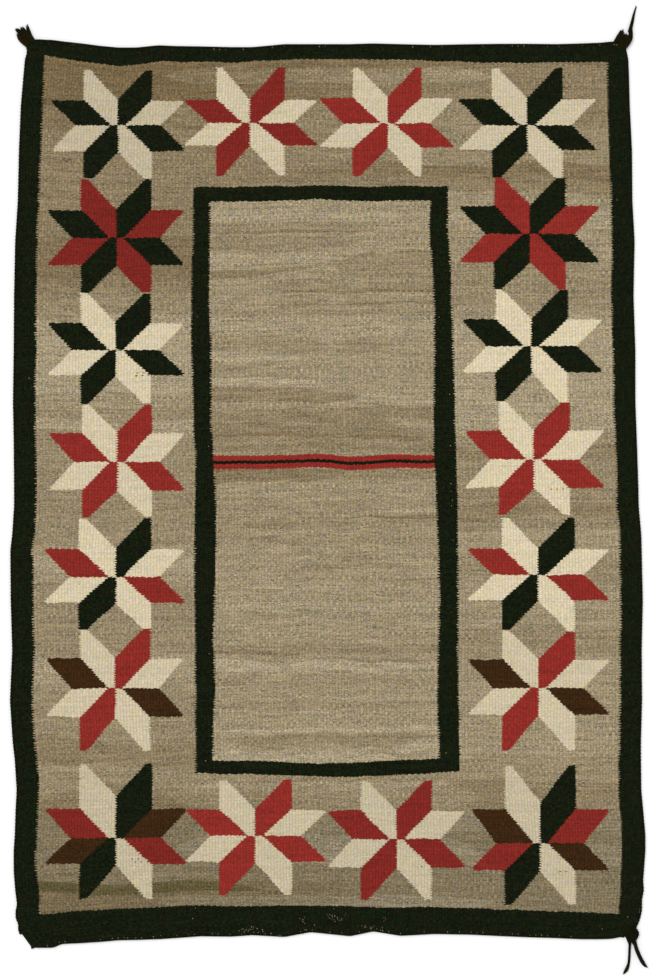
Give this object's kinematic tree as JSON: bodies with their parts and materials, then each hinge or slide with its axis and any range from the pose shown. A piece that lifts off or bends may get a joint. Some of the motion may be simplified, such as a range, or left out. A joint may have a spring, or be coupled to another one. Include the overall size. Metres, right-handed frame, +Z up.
{
  "type": "woven wool saddle blanket",
  "caption": "Flat hand-woven wool saddle blanket with dark border, star border round a plain field, edge cords and tied corners.",
  "frame": {"origin": "on the surface the blanket lies on, under the middle of the blanket and its corner knots", "axes": "+X across the blanket (along the weft), +Y along the warp to the far end, +Z up out of the face that shows"},
  "size_m": [0.8552, 1.2985, 0.007],
  "materials": {
    "woven_wool": "matte, ribbed weft-faced wool with a star border",
    "edge_yarn": "matte dark twisted wool yarn"
  },
  "bodies": {
    "root": {"blanket": "woven_wool", "side_cord_left": "edge_yarn", "side_cord_right": "edge_yarn", "end_cord_far": "edge_yarn", "end_cord_near": "edge_yarn", "tuft_far_left": "edge_yarn", "knot_far_right": "edge_yarn", "tail_far_right": "edge_yarn", "knot_near_right": "edge_yarn", "tail_near_right_inner": "edge_yarn", "tail_near_right_outer": "edge_yarn"}
  },
  "joints": []
}
